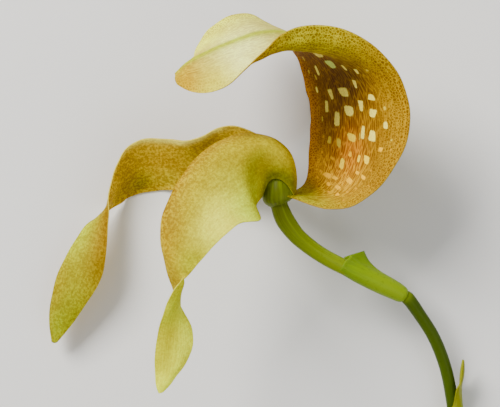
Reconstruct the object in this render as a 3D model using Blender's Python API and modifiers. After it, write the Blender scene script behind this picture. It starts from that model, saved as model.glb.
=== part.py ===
"""A single Bulbophyllum orchid bloom on its cut flower stem, lying on a flat surface.

The bloom has a hooded dorsal sepal, two long twisted lateral sepals, two small petals, a lip
and a column. A curved pedicel carries it, with a bract at the joint with the scape, and a
sheath clasps the scape near its cut end.

Points are in millimetres in the bloom's own frame: +X to the right, +Y up the standing flower,
+Z to the side that faces up when it lies down, origin in the heart of the bloom.
The parent empty sets the bloom down on the surface, with the whole flower's foot at z = 0.
"""

import math

import bmesh
import bpy
from mathutils import Matrix, Vector

MM = 0.001

# Driving dimensions, in millimetres
SEPAL_THICKNESS = 0.9
PETAL_THICKNESS = 0.6
BRACT_THICKNESS = 0.6
CLEARANCE = 0.3
OVARY_RADIUS = 2.9
PEDICEL_RADIUS = 1.75
SCAPE_RADIUS = 1.6
COLUMN_RADIUS = 1.0
LIP_WIDTH = 3.6
LIP_THICKNESS = 1.1
SURFACE_DEPTH = 22.6
REST_SHIFT = (6.4, 11.7, SURFACE_DEPTH)
SURFACE_BLOCK = (300.0, 300.0, 20.0)
LIP_CUP = 0.35
PETAL_CUP = 0.2
PETAL_HALF_WIDTH = 1.0

# How finely the curved forms are spread
SOFTENING_LEVELS = 1
STEM_STEPS = 3
STEM_BEVEL = 3
SHEATH_LINE_STEPS = 6
SHEATH_AROUND = 20
SHEATH_ALONG = 9
MERGE_DISTANCE = 0.01
OVARY_ENTRIES = 7

# Sections of the dorsal sepal from its claw to its tip. Each has five points: the far margin,
# the middle of the far half, the midrib, the middle of the near half and the near margin.
DORSAL_SECTIONS = [
    [(1.9, -1.2, -1.4), (1.7, -1.6, -0.7), (1.6, -1.9, 0.0), (1.7, -2.3, 0.7), (1.9, -2.8, 1.4)],
    [(4.2, 0.2, -4.2), (4.4, -1.0, -3.0), (5.2, -2.2, -1.0), (5.0, -3.2, 1.4), (5.4, -3.6, 3.0)],
    [(6.5, 2.4, -11.5), (8.2, 0.4, -8.8), (10.5, -2.0, -4.0), (10.3, -4.2, 3.0), (10.3, -5.0, 6.5)],
    [(7.0, 8.0, -17.5), (10.2, 4.8, -13.6), (14.8, 1.5, -5.5), (16.6, -2.6, 3.0), (16.8, -4.6, 9.0)],
    [(7.2, 13.6, -21.0), (11.6, 10.8, -16.5), (17.0, 8.0, -6.5), (22.0, 3.8, 2.5), (25.2, 1.4, 9.5)],
    [(7.7, 18.0, -22.6), (12.6, 17.0, -17.5), (17.8, 15.5, -7.0), (23.6, 12.4, 2.0), (30.2, 10.0, 9.5)],
    [(7.4, 22.8, -22.8), (12.2, 23.0, -17.5), (17.4, 22.8, -7.0), (23.8, 20.8, 2.0), (31.4, 18.6, 9.5)],
    [(6.4, 27.6, -22.0), (10.6, 28.6, -17.0), (15.8, 28.8, -6.5), (21.6, 27.4, 3.5), (29.6, 26.2, 9.5)],
    [(4.6, 32.9, -20.0), (7.8, 33.6, -15.0), (12.6, 33.4, -4.5), (16.8, 31.4, 5.5), (24.6, 33.9, 10.5)],
    [(2.6, 37.0, -18.0), (4.4, 37.2, -12.0), (8.0, 36.8, -2.5), (10.2, 31.8, 9.0), (16.4, 39.2, 12.0)],
    [(-0.4, 41.2, -15.0), (1.0, 39.8, -8.5), (3.6, 38.8, 0.0), (4.4, 31.6, 13.0), (7.6, 40.4, 14.0)],
    [(-4.2, 43.4, -11.0), (-2.6, 41.2, -4.5), (-0.6, 39.6, 3.0), (-0.4, 31.4, 15.5), (1.2, 39.0, 16.5)],
    [(-10.0, 45.0, -6.0), (-7.4, 42.0, 0.0), (-5.2, 38.7, 7.0), (-4.2, 30.8, 17.0), (-3.2, 35.4, 18.4)],
    [(-16.0, 42.9, -2.0), (-12.6, 40.6, 4.0), (-9.7, 36.8, 10.5), (-7.8, 29.6, 18.0), (-7.4, 30.8, 19.4)],
    [(-19.6, 38.7, 3.0), (-16.4, 37.6, 8.0), (-14.0, 35.0, 13.0), (-12.6, 29.4, 17.6), (-11.6, 26.0, 19.4)],
    [(-21.6, 35.0, 8.0), (-19.8, 34.6, 11.0), (-18.1, 33.1, 14.6),
     (-17.0, 27.6, 17.4), (-17.0, 23.0, 18.0)],
    [(-23.2, 31.6, 10.5), (-22.9, 31.8, 12.5), (-22.6, 31.2, 15.2),
     (-22.4, 26.8, 16.4), (-22.8, 23.3, 16.0)],
    [(-25.2, 29.0, 12.0), (-25.6, 28.8, 12.8), (-26.0, 28.4, 13.6),
     (-26.2, 27.2, 13.8), (-26.0, 26.2, 13.6)],
]

# Sections of the lateral sepal on the upper side, from its foot to its tip. The first point
# of each is on the front margin and the last on the back margin.
NEAR_LATERAL_SECTIONS = [
    [(2.5, 0.3, 1.6), (1.2, 2.4, 1.9), (-1.4, 3.4, 2.1), (-4.0, 2.4, 2.0), (-4.9, -0.6, 1.8)],
    [(3.2, 4.2, 2.8), (1.6, 6.0, 4.0), (-2.0, 6.4, 4.8), (-5.0, 3.6, 4.6), (-5.6, -1.8, 3.4)],
    [(2.6, 8.4, 2.8), (0.4, 10.2, 5.2), (-4.2, 9.0, 7.6), (-6.8, 3.6, 8.0), (-6.2, -3.6, 6.5)],
    [(-1.0, 13.0, 2.0), (-3.2, 12.8, 6.0), (-8.0, 9.6, 10.4), (-9.0, 2.4, 12.2), (-7.0, -6.0, 11.0)],
    [(-7.3, 14.4, 4.0), (-9.2, 12.4, 8.6), (-12.2, 7.6, 13.6), (-11.4, -0.6, 16.0), (-4.8, -9.2, 15.0)],
    [(-14.0, 13.0, 8.0), (-15.4, 10.2, 12.4), (-17.0, 4.4, 17.0), (-15.0, -4.0, 19.0), (-9.9, -9.4, 18.0)],
    [(-19.9, 9.5, 12.0), (-20.2, 6.0, 16.0), (-20.8, -0.4, 19.6),
     (-18.4, -7.4, 21.0), (-12.2, -10.8, 20.0)],
    [(-23.2, 5.6, 15.0), (-24.0, 1.4, 18.6), (-23.6, -5.2, 21.6),
     (-20.8, -11.0, 22.2), (-15.6, -13.4, 21.2)],
    [(-26.8, 0.3, 18.0), (-27.2, -4.2, 20.6), (-25.6, -10.2, 22.6),
     (-22.6, -14.4, 22.8), (-18.6, -16.4, 21.8)],
    [(-28.5, -4.2, 20.0), (-28.8, -8.8, 21.6), (-26.8, -13.6, 22.8),
     (-24.2, -16.8, 22.8), (-21.2, -19.0, 22.0)],
    [(-30.2, -9.4, 20.6), (-29.0, -14.0, 21.6), (-27.2, -17.4, 22.2),
     (-25.2, -19.4, 22.4), (-23.2, -21.0, 22.0)],
    [(-29.2, -15.8, 20.0), (-28.0, -18.4, 20.6), (-26.0, -20.6, 21.0),
     (-24.9, -22.0, 21.6), (-25.2, -22.9, 21.8)],
    [(-27.8, -22.3, 17.6), (-25.8, -23.0, 18.2), (-24.3, -23.6, 19.2),
     (-25.0, -24.4, 20.6), (-27.0, -24.8, 21.0)],
    [(-25.8, -26.6, 15.2), (-25.0, -26.8, 16.4), (-25.4, -27.2, 17.8),
     (-26.8, -27.6, 19.0), (-28.4, -27.8, 19.6)],
    [(-24.2, -30.0, 13.8), (-25.4, -30.2, 15.4), (-26.6, -30.6, 16.8),
     (-28.2, -31.0, 17.8), (-29.9, -31.7, 18.0)],
    [(-22.4, -34.6, 13.0), (-24.6, -35.0, 14.8), (-26.8, -35.4, 15.8),
     (-28.9, -35.8, 16.4), (-30.8, -36.6, 16.4)],
    [(-22.0, -38.8, 13.0), (-24.4, -39.6, 14.7), (-26.9, -40.2, 15.3),
     (-29.3, -40.6, 15.4), (-31.5, -41.6, 15.0)],
    [(-23.4, -43.6, 13.2), (-25.4, -44.4, 14.6), (-27.5, -45.0, 14.9),
     (-29.5, -45.6, 14.7), (-31.3, -46.2, 14.2)],
    [(-26.6, -47.6, 13.5), (-27.7, -48.0, 14.1), (-28.7, -48.2, 14.3),
     (-29.8, -48.6, 14.2), (-31.0, -48.8, 13.9)],
    [(-29.4, -49.8, 13.9), (-29.7, -49.9, 14.0), (-29.9, -50.0, 14.0),
     (-30.2, -50.1, 14.0), (-30.5, -50.2, 13.9)],
]

# Sections of the lateral sepal on the lower side, which the flower partly lies on.
FAR_LATERAL_SECTIONS = [
    [(2.5, 0.3, -1.6), (1.2, 2.4, -1.9), (-1.4, 3.4, -2.1), (-4.0, 2.4, -2.0), (-4.9, -0.6, -1.8)],
    [(1.4, 6.6, -3.0), (-0.4, 7.4, -4.6), (-3.2, 6.6, -6.2), (-5.4, 3.6, -7.0), (-6.4, 0.2, -6.6)],
    [(-4.0, 12.8, -4.0), (-4.8, 12.0, -6.8), (-6.6, 9.2, -9.4), (-8.4, 4.8, -11.0), (-9.6, 0.2, -10.6)],
    [(-10.2, 15.8, -6.0), (-10.8, 13.8, -9.4), (-12.0, 9.8, -12.4),
     (-13.4, 4.8, -14.4), (-14.4, -0.2, -14.4)],
    [(-15.4, 17.0, -8.0), (-16.2, 13.6, -11.4), (-17.2, 9.4, -14.4),
     (-18.4, 4.6, -17.0), (-19.4, -0.2, -18.0)],
    [(-19.4, 14.0, -9.5), (-20.2, 11.4, -12.8), (-21.4, 8.0, -15.8),
     (-22.6, 4.0, -18.4), (-23.8, 0.0, -20.2)],
    [(-24.2, 12.2, -11.0), (-24.8, 10.0, -14.4), (-25.8, 7.0, -17.2),
     (-27.0, 3.8, -19.6), (-28.2, 0.2, -21.6)],
    [(-30.0, 12.9, -12.0), (-30.4, 10.2, -15.2), (-31.2, 6.9, -18.0),
     (-32.0, 3.6, -20.4), (-32.9, 0.2, -22.4)],
    [(-36.4, 13.9, -12.8), (-36.5, 10.2, -16.2), (-36.8, 6.4, -18.8),
     (-37.2, 2.6, -21.0), (-37.6, -1.0, -22.8)],
    [(-40.8, 10.4, -13.4), (-40.6, 7.4, -16.2), (-40.4, 4.2, -18.6),
     (-40.5, 1.0, -20.6), (-40.9, -2.4, -22.4)],
    [(-43.2, 4.8, -13.8), (-43.0, 2.8, -15.8), (-42.8, 0.6, -17.6),
     (-43.0, -1.8, -19.4), (-43.6, -4.2, -21.0)],
    [(-44.6, -1.5, -13.6), (-44.6, -2.6, -14.8), (-44.9, -3.8, -16.2),
     (-45.5, -5.0, -17.6), (-46.4, -5.8, -19.0)],
    [(-44.9, -8.1, -12.8), (-45.8, -8.0, -13.8), (-47.0, -8.0, -14.8),
     (-48.4, -8.2, -16.0), (-49.9, -8.4, -17.2)],
    [(-44.8, -15.3, -12.6), (-47.0, -14.6, -13.0), (-49.4, -14.0, -13.8),
     (-51.6, -13.4, -15.0), (-53.6, -13.0, -16.4)],
    [(-46.0, -23.0, -13.0), (-49.0, -21.8, -13.4), (-52.0, -20.6, -14.4),
     (-54.8, -19.8, -15.6), (-57.4, -19.4, -17.0)],
    [(-49.7, -28.2, -14.0), (-52.4, -27.8, -14.4), (-55.0, -27.2, -15.4),
     (-57.4, -26.8, -16.4), (-59.6, -26.6, -17.4)],
    [(-54.0, -34.6, -15.2), (-55.8, -34.6, -15.6), (-57.4, -34.4, -16.4),
     (-59.0, -34.0, -17.2), (-60.4, -33.6, -17.9)],
    [(-58.0, -39.2, -17.0), (-58.4, -39.4, -17.1), (-58.8, -39.5, -17.2),
     (-59.2, -39.4, -17.4), (-59.6, -39.2, -17.6)],
]

# Stem centrelines with their radii: x, y, z, radius
PEDICEL_LINE = [
    (-3.05, 3.35, 0.0, 0.5),
    (-2.9, 3.0, 0.0, 1.4),
    (-2.5, 1.7, 0.0, 2.5),
    (-2.0, -0.4, 0.0, OVARY_RADIUS),
    (-1.5, -2.6, -0.1, 2.6),
    (-0.6, -5.0, -0.2, 2.2),
    (0.9, -7.9, -0.6, 2.15),
    (4.0, -12.0, -1.6, 2.0),
    (9.2, -16.0, -3.4, 1.8),
    (15.0, -19.2, -5.4, PEDICEL_RADIUS),
    (21.8, -22.3, -7.6, 1.5),
    (27.5, -25.0, -9.4, 1.2),
    (31.4, -27.1, -10.6, 1.1),
]
SCAPE_LINE = [
    (31.7, -27.3, -10.8, PEDICEL_RADIUS),
    (32.9, -28.6, -11.3, PEDICEL_RADIUS),
    (35.6, -32.4, -12.8, SCAPE_RADIUS),
    (38.6, -37.0, -14.4, SCAPE_RADIUS),
    (41.0, -42.2, -15.9, SCAPE_RADIUS),
    (42.9, -48.1, -17.4, SCAPE_RADIUS),
    (44.4, -56.0, -18.9, SCAPE_RADIUS),
    (45.2, -62.0, -20.1, SCAPE_RADIUS),
    (45.8, -68.0, -21.5, SCAPE_RADIUS),
]
COLUMN_LINE = [
    (-0.7, 3.8, 0.0, 0.7),
    (-0.4, 4.9, 0.0, 0.9),
    (-0.2, 6.4, 0.0, COLUMN_RADIUS),
    (-0.6, 7.8, 0.0, COLUMN_RADIUS),
    (-1.4, 8.6, 0.0, 0.8),
]

# Mouths of the bract and of the sheath: degrees from the lip's middle, reach along the stem
# and radius there
BRACT_MOUTH = [(0, 14.4, 5.4), (38, 17.0, 3.1), (90, 17.8, 2.4), (180, 18.4, 2.35)]
SHEATH_MOUTH = [(0, 16.5, 5.0), (35, 11.5, 3.6), (80, 7.5, 2.7), (180, 5.5, 2.4)]
BRACT_LIP_SIDE = Vector((0.35, 1.0, 0.2))
SHEATH_LIP_SIDE = Vector((1.0, 0.1, 0.3))

# Start along the stem, radius at the base and radius of the belly
BRACT_RADII = (0.4, 1.75, 2.15)
SHEATH_RADII = (8.0, 2.25, 2.4)

# Middle lines of the lip and of the upper petal
LIP_LINE = [(-2.9, 3.8, 0.0), (-3.9, 6.2, 0.0), (-5.6, 7.8, 0.0), (-7.8, 8.0, 0.0), (-9.6, 6.8, 0.0)]
PETAL_LINE = [(1.2, 3.3, 1.2), (1.5, 4.8, 1.4), (1.6, 6.4, 1.7), (1.4, 7.8, 2.0)]
PETAL_WIDTHS = (0.5, 0.9, 0.8, 0.3)
LIP_WIDTHS = (0.45, 0.9, 1.0, 0.85, 0.35)

# Colours from the daylight view of the bloom: red, green, blue and roughness
HOOD_GOLD = (0.50, 0.28, 0.03, 0.5)
SEPAL_YELLOW = (0.72, 0.58, 0.10, 0.5)
STEM_GREEN = (0.24, 0.34, 0.03, 0.45)
BRACT_GREEN = (0.38, 0.48, 0.04, 0.5)
LIP_GREEN = (0.45, 0.42, 0.08, 0.5)


def clear_scene():
    """Removes the objects that a new file starts with."""
    for item in list(bpy.data.objects):
        bpy.data.objects.remove(item, do_unlink=True)


def material(name, colour):
    """A Principled finish with a colour and a roughness."""
    made = bpy.data.materials.new(name)
    made.use_nodes = True
    shader = made.node_tree.nodes["Principled BSDF"]
    shader.inputs["Base Color"].default_value = (*colour[:3], 1.0)
    shader.inputs["Roughness"].default_value = colour[3]
    shader.inputs["Metallic"].default_value = 0.0
    return made


def place(name, data, finish, collection, parent):
    """Adds a named piece to the flower, on its parent empty."""
    piece = bpy.data.objects.new(name, data)
    data.materials.append(finish)
    collection.objects.link(piece)
    piece.parent = parent
    return piece


def cage_mesh(name, sections):
    """A grid of faces whose rows are the sections of a blade, in metres."""
    rows = len(sections) - 1
    columns = len(sections[0]) - 1
    bm = bmesh.new()
    bmesh.ops.create_grid(bm, x_segments=rows, y_segments=columns, size=1.0)
    for vert in bm.verts:
        row = round((vert.co.x + 1.0) / 2.0 * rows)
        column = round((vert.co.y + 1.0) / 2.0 * columns)
        vert.co = Vector(sections[row][column]) * MM
    bmesh.ops.recalc_face_normals(bm, faces=bm.faces)
    mesh = bpy.data.meshes.new(name)
    bm.to_mesh(mesh)
    bm.free()
    mesh.shade_smooth()
    return mesh


def add_softening(piece):
    soft = piece.modifiers.new("soft form", "SUBSURF")
    soft.levels = SOFTENING_LEVELS
    soft.render_levels = SOFTENING_LEVELS
    soft.boundary_smooth = "ALL"


def add_thickness(piece, thickness):
    """Splits the faces into triangles first, so that both sides of a waved blade are alike."""
    piece.modifiers.new("triangles", "TRIANGULATE")
    wall = piece.modifiers.new("wall", "SOLIDIFY")
    wall.thickness = thickness * MM
    wall.offset = 0.0
    wall.use_even_offset = False


def add_cut(piece, cutter):
    """Takes the cutter's form out of the piece."""
    cut = piece.modifiers.new("clear of " + cutter.name, "BOOLEAN")
    cut.operation = "DIFFERENCE"
    cut.object = cutter


def blade(name, sections, thickness, finish, collection, parent):
    """A sepal, petal or lip: a soft sheet through its sections, with a wall thickness."""
    piece = place(name, cage_mesh(name, sections), finish, collection, parent)
    add_softening(piece)
    add_thickness(piece, thickness)
    return piece


def strap_sections(line, widths, half_width, across, cup):
    """Five-point sections of a narrow blade that follows a line, spread along a direction."""
    points = [Vector(point) for point in line]
    sections = []
    for index, point in enumerate(points):
        ahead = points[min(index + 1, len(points) - 1)] - points[max(index - 1, 0)]
        side = (across - ahead.normalized() * across.dot(ahead.normalized())).normalized()
        lift = side.cross(ahead).normalized()
        reach = widths[index] * half_width
        row = []
        for step in (-1.0, -0.5, 0.0, 0.5, 1.0):
            row.append(tuple(point + side * reach * step + lift * cup * reach * step * step))
        sections.append(row)
    return sections


def smooth_line(line, steps):
    """Points and radii of a stem on a smooth curve through the listed ones."""
    entries = [Vector(entry) for entry in line]
    dense = []
    for index in range(len(entries) - 1):
        before = entries[max(index - 1, 0)]
        start = entries[index]
        end = entries[index + 1]
        after = entries[min(index + 2, len(entries) - 1)]
        for step in range(steps):
            t = step / steps
            pull_start = (end - before) * 0.5
            pull_end = (after - start) * 0.5
            lift = 3.0 * (end - start) - 2.0 * pull_start - pull_end
            turn = pull_start + pull_end - 2.0 * (end - start)
            dense.append(tuple(start + pull_start * t + lift * t * t + turn * t * t * t))
    dense.append(tuple(entries[-1]))
    return dense


def tube_mesh(name, line):
    """A stem with a round bevel and filled ends, from a curve through its centreline."""
    data = bpy.data.curves.new(name, "CURVE")
    data.dimensions = "3D"
    data.bevel_depth = MM
    data.bevel_resolution = STEM_BEVEL
    data.use_fill_caps = True
    dense = smooth_line(line, STEM_STEPS)
    spline = data.splines.new("POLY")
    spline.points.add(len(dense) - 1)
    for point, (x, y, z, radius) in zip(spline.points, dense):
        point.co = (x * MM, y * MM, z * MM, 1.0)
        point.radius = radius
    spline.use_smooth = True
    former = bpy.data.objects.new(name + "_former", data)
    mesh = bpy.data.meshes.new_from_object(former)
    bpy.data.objects.remove(former, do_unlink=True)
    bm = bmesh.new()
    bm.from_mesh(mesh)
    bmesh.ops.remove_doubles(bm, verts=bm.verts, dist=MERGE_DISTANCE * MM)
    bmesh.ops.recalc_face_normals(bm, faces=bm.faces)
    bm.to_mesh(mesh)
    bm.free()
    mesh.name = name
    return mesh


def tube(name, line, finish, collection, parent):
    return place(name, tube_mesh(name, line), finish, collection, parent)


def line_point(dense, distance):
    """A point and a direction at a distance along a dense stem line."""
    points = [Vector(entry[:3]) for entry in dense]
    for start, end in zip(points, points[1:]):
        length = (end - start).length
        if distance <= length:
            return start.lerp(end, distance / length), (end - start).normalized()
        distance -= length
    return points[-1], (points[-1] - points[-2]).normalized()


def smooth_share(x):
    """A share from 0 to 1, eased at both ends."""
    return x * x * (3.0 - 2.0 * x)


def mouth_at(mouth, angle):
    """Reach along the stem and radius of a sheath's mouth at an angle from its lip."""
    turn = abs(math.degrees(math.atan2(math.sin(angle), math.cos(angle))))
    for (low, reach_a, radius_a), (high, reach_b, radius_b) in zip(mouth, mouth[1:]):
        if turn <= high:
            share = smooth_share((turn - low) / (high - low))
            return reach_a + (reach_b - reach_a) * share, radius_a + (radius_b - radius_a) * share
    return mouth[-1][1:]


def sheath_ring(dense, rise, radii, mouth, lip_side):
    """Points round a stem at a share of the way from a sheath's base to its mouth."""
    start, base_radius, belly_radius = radii
    swell = math.sin(math.pi * min(1.0, rise * 1.1)) ** 0.7
    belly = base_radius + (belly_radius - base_radius) * swell
    ring = []
    for turn in range(SHEATH_AROUND):
        angle = 2.0 * math.pi * turn / SHEATH_AROUND
        reach, mouth_radius = mouth_at(mouth, angle)
        centre, ahead = line_point(dense, start + reach * rise)
        across = (lip_side - ahead * lip_side.dot(ahead)).normalized()
        upright = ahead.cross(across)
        radius = belly + (mouth_radius - belly) * rise ** 4
        ring.append(centre + (across * math.cos(angle) + upright * math.sin(angle)) * radius)
    return ring


def sheath_mesh(name, line, radii, mouth, lip_side):
    """A leaf base rolled round a stem, with a free pointed lip on one side of its mouth."""
    dense = smooth_line(line, SHEATH_LINE_STEPS)
    bm = bmesh.new()
    rings = []
    for step in range(SHEATH_ALONG + 1):
        ring = sheath_ring(dense, step / SHEATH_ALONG, radii, mouth, lip_side)
        rings.append([bm.verts.new(spot * MM) for spot in ring])
    for lower, upper in zip(rings, rings[1:]):
        for turn in range(SHEATH_AROUND):
            beside = (turn + 1) % SHEATH_AROUND
            bm.faces.new((lower[turn], lower[beside], upper[beside], upper[turn]))
    bmesh.ops.recalc_face_normals(bm, faces=bm.faces)
    mesh = bpy.data.meshes.new(name)
    bm.to_mesh(mesh)
    bm.free()
    mesh.shade_smooth()
    return mesh


def sheath(name, mesh, finish, collection, parent):
    piece = place(name, mesh, finish, collection, parent)
    add_thickness(piece, BRACT_THICKNESS)
    return piece


def surface_cutter(collection, parent):
    """A block below the surface that the flower lies on, which leaves flat spots on what touches."""
    bpy.ops.mesh.primitive_cube_add(size=MM)
    block = bpy.context.object
    block.name = "surface_below"
    block.data.transform(Matrix.Diagonal((*SURFACE_BLOCK, 1.0)))
    block.location = (0.0, 0.0, -(SURFACE_BLOCK[2] / 2 + SURFACE_DEPTH) * MM)
    hide_cutter(block, collection, parent)
    return block


def ovary_cutter(collection, parent):
    """A copy of the ovary a clearance larger, which keeps the sepals' feet off it."""
    line = [(x, y, z, radius + CLEARANCE) for x, y, z, radius in PEDICEL_LINE[:OVARY_ENTRIES]]
    x, y, z, radius = line[0]
    line[0] = (x - CLEARANCE / 3, y + CLEARANCE, z, radius)
    room = bpy.data.objects.new("ovary_clearance", tube_mesh("ovary_clearance", line))
    hide_cutter(room, collection, parent)
    return room


def hide_cutter(item, collection, parent):
    """Keeps a cutting form out of the flower itself."""
    for owner in list(item.users_collection):
        owner.objects.unlink(item)
    collection.objects.link(item)
    item.parent = parent
    item.hide_render = True
    item.display_type = "WIRE"


def mirrored(line):
    """The same line on the flower's other side."""
    return [(x, y, -z) for x, y, z in line]


def add_sepals(flower, laid, gold, yellow, surface, ovary_room):
    """The hood and the two lateral sepals, clear of the ovary and of the surface."""
    dorsal = blade("dorsal_sepal", DORSAL_SECTIONS, SEPAL_THICKNESS, gold, flower, laid)
    near = blade("near_lateral_sepal", NEAR_LATERAL_SECTIONS, SEPAL_THICKNESS, yellow, flower, laid)
    far = blade("far_lateral_sepal", FAR_LATERAL_SECTIONS, SEPAL_THICKNESS, yellow, flower, laid)
    for sepal in (dorsal, near, far):
        add_cut(sepal, ovary_room)
    for sepal in (dorsal, far):
        add_cut(sepal, surface)


def add_heart(flower, laid, yellow, lip_green):
    """The lip, the two petals and the column."""
    upright = Vector((0.0, 0.0, 1.0))
    lip_rows = strap_sections(LIP_LINE, LIP_WIDTHS, LIP_WIDTH / 2, upright, LIP_CUP)
    blade("lip", lip_rows, LIP_THICKNESS, lip_green, flower, laid)
    sideways = Vector((1.0, 0.0, 0.0))
    for name, line in (("near_petal", PETAL_LINE), ("far_petal", mirrored(PETAL_LINE))):
        rows = strap_sections(line, PETAL_WIDTHS, PETAL_HALF_WIDTH, sideways, PETAL_CUP)
        blade(name, rows, PETAL_THICKNESS, yellow, flower, laid)
    tube("column", COLUMN_LINE, lip_green, flower, laid)


def add_stems(flower, laid, green, pale_green, surface):
    """The pedicel with its bract and the scape with its sheath."""
    tube("pedicel", PEDICEL_LINE, green, flower, laid)
    scape = tube("scape", SCAPE_LINE, green, flower, laid)
    add_cut(scape, surface)
    bract = sheath_mesh("floral_bract", PEDICEL_LINE[::-1], BRACT_RADII, BRACT_MOUTH, BRACT_LIP_SIDE)
    sheath("floral_bract", bract, pale_green, flower, laid)
    clasp = sheath_mesh("scape_sheath", SCAPE_LINE[::-1], SHEATH_RADII, SHEATH_MOUTH, SHEATH_LIP_SIDE)
    sheath("scape_sheath", clasp, pale_green, flower, laid)


def build():
    clear_scene()
    flower = bpy.data.collections.new("bulbophyllum_bloom")
    cutters = bpy.data.collections.new("cutters")
    bpy.context.scene.collection.children.link(flower)
    bpy.context.scene.collection.children.link(cutters)
    laid = bpy.data.objects.new("laid_flower", None)
    flower.objects.link(laid)
    laid.location = Vector(REST_SHIFT) * MM

    gold = material("hood_gold", HOOD_GOLD)
    yellow = material("sepal_yellow", SEPAL_YELLOW)
    green = material("stem_green", STEM_GREEN)
    pale_green = material("bract_green", BRACT_GREEN)
    lip_green = material("lip_green", LIP_GREEN)

    surface = surface_cutter(cutters, laid)
    ovary_room = ovary_cutter(cutters, laid)
    add_sepals(flower, laid, gold, yellow, surface, ovary_room)
    add_heart(flower, laid, yellow, lip_green)
    add_stems(flower, laid, green, pale_green, surface)


build()
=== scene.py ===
"""Dresses the Bulbophyllum bloom: fine sepals with windows, nerves and mottled skins, its small
inner parts and its stems, on a plain pale surface under soft light.

Points are in millimetres in the bloom's own frame, as the photograph shows it: +X to the right,
+Y up the standing flower, +Z towards the viewer, origin in the heart of the bloom. HEART_PLACE
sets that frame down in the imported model's own.
"""
import math
import random

import bmesh
import bpy
import numpy as np
from bpy.props import FloatProperty, FloatVectorProperty, PointerProperty
from bpy.types import Operator, Panel, PropertyGroup
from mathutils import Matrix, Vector


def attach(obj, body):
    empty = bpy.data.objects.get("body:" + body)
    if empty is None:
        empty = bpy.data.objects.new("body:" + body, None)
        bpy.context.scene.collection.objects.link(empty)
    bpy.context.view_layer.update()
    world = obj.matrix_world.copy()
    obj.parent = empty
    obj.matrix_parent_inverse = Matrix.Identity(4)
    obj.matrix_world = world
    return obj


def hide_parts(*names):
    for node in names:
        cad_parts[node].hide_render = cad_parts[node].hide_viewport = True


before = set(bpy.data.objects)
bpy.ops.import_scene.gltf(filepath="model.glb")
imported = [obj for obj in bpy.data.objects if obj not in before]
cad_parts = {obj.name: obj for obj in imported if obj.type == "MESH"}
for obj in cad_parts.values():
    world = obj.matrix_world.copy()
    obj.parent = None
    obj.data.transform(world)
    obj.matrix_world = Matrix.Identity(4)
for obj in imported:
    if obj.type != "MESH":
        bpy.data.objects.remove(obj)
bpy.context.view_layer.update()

bl_info = {
    "name": "Bulbophyllum bloom",
    "version": (1, 0, 0),
    "blender": (4, 5, 0),
    "location": "3D View > Sidebar > Bloom",
    "description": "Builds a Bulbophyllum orchid bloom lying on a pale surface",
    "category": "Object",
}

MM = 0.001
HEART_PLACE = np.array((6.4, 11.7, 22.6))
PIECE_PREFIX = "dressed_"
MERGE_DISTANCE = 1e-7
SEED = 7

# How finely the blades, stems and bracts are divided
ROWS_PER_SECTION = 16
COLUMNS_PER_SECTION = 28
STRAP_ROWS_PER_SECTION = 8
STRAP_COLUMNS = 33
STEM_STEPS = 8
STEM_AROUND = 48
SHEATH_LINE_STEPS = 6
SHEATH_ALONG = 40
SHEATH_AROUND = 72

# Sections of the dorsal sepal from its claw to its tip. Each row holds x, y, z of five points: the
# far margin, the middle of the far half, the midrib, the middle of the near half, the near margin.
DORSAL_SECTIONS = [
    (2.4, -0.4, -1.4,  2.5, -0.7, 0.2,  2.2, -1.1, 1.8,  1.6, -1.4, 2.9,  1, -1.6, 3.5),
    (4.2, 0.2, -4,  4.5, -0.8, -2.4,  5, -1.8, -0.2,  5, -2.6, 1.8,  5.2, -3.1, 3.2),
    (6.5, 2.4, -11.5,  8.2, 0.4, -8.8,  10.5, -2, -4,  10.3, -4.2, 3,  10.3, -5, 6.5),
    (7, 8, -17.5,  10.2, 4.8, -13.6,  14.8, 1.5, -5.5,  16.6, -2.6, 3,  16.8, -4.6, 9),
    (7.2, 13.6, -21,  11.6, 10.8, -16.5,  17, 8, -6.5,  22, 3.8, 2.5,  25.2, 1.4, 9.5),
    (7.7, 18, -22.6,  12.6, 17, -17.5,  17.8, 15.5, -7,  23.6, 12.4, 2,  30.2, 10, 9.5),
    (7.4, 22.8, -22.8,  12.2, 23, -17.5,  17.4, 22.8, -7,  23.8, 20.8, 2,  31.4, 18.6, 9.5),
    (6.4, 27.6, -22,  10.6, 28.6, -17,  15.8, 28.8, -6.5,  21.6, 27.4, 3.5,  29.6, 26.2, 9.5),
    (4.6, 32.9, -20,  7.8, 33.6, -15,  12.6, 33.4, -4.5,  16.8, 31.4, 5.5,  24.6, 33.9, 10.5),
    (2.6, 37, -18,  4.4, 37.2, -12,  8, 36.8, -2.5,  10.2, 31.8, 9,  16.4, 39.2, 12),
    (-0.4, 41.2, -15,  1, 39.8, -8.5,  3.6, 38.8, 0,  4.4, 31.6, 13,  7.6, 40.4, 14),
    (-4.2, 43.4, -11,  -2.6, 41.2, -4.5,  -0.6, 39.6, 3,  -0.4, 31.4, 15.5,  1.2, 39, 16.5),
    (-10, 45, -6,  -7.4, 42, 0,  -5.2, 38.7, 7,  -4.2, 30.8, 17,  -3.2, 35.4, 18.4),
    (-16, 42.9, -2,  -12.6, 40.6, 4,  -9.7, 36.8, 10.5,  -7.8, 29.6, 18,  -7.4, 30.8, 19.4),
    (-19.8, 38.7, 3,  -16.6, 37.6, 8,  -14, 35, 13,  -12.6, 29.4, 17.6,  -11.6, 26, 19.4),
    (-22.2, 34, 7.6,  -20.6, 34.2, 11,  -18.9, 33, 14.6,  -17, 27.6, 17.4,  -17, 23, 18),
    (-21.8, 29.6, 9.4,  -22.8, 30.8, 12.2,  -23.6, 31.2, 15.2,  -22.4, 26.8, 16.4,  -22.8, 23.3, 16),
    (-24.6, 26.6, 11.2,  -25.6, 27.8, 12.4,  -26.3, 28.2, 13.6,  -26.6, 26.8, 13.8,  -26, 25.6, 13.6),
]

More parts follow.
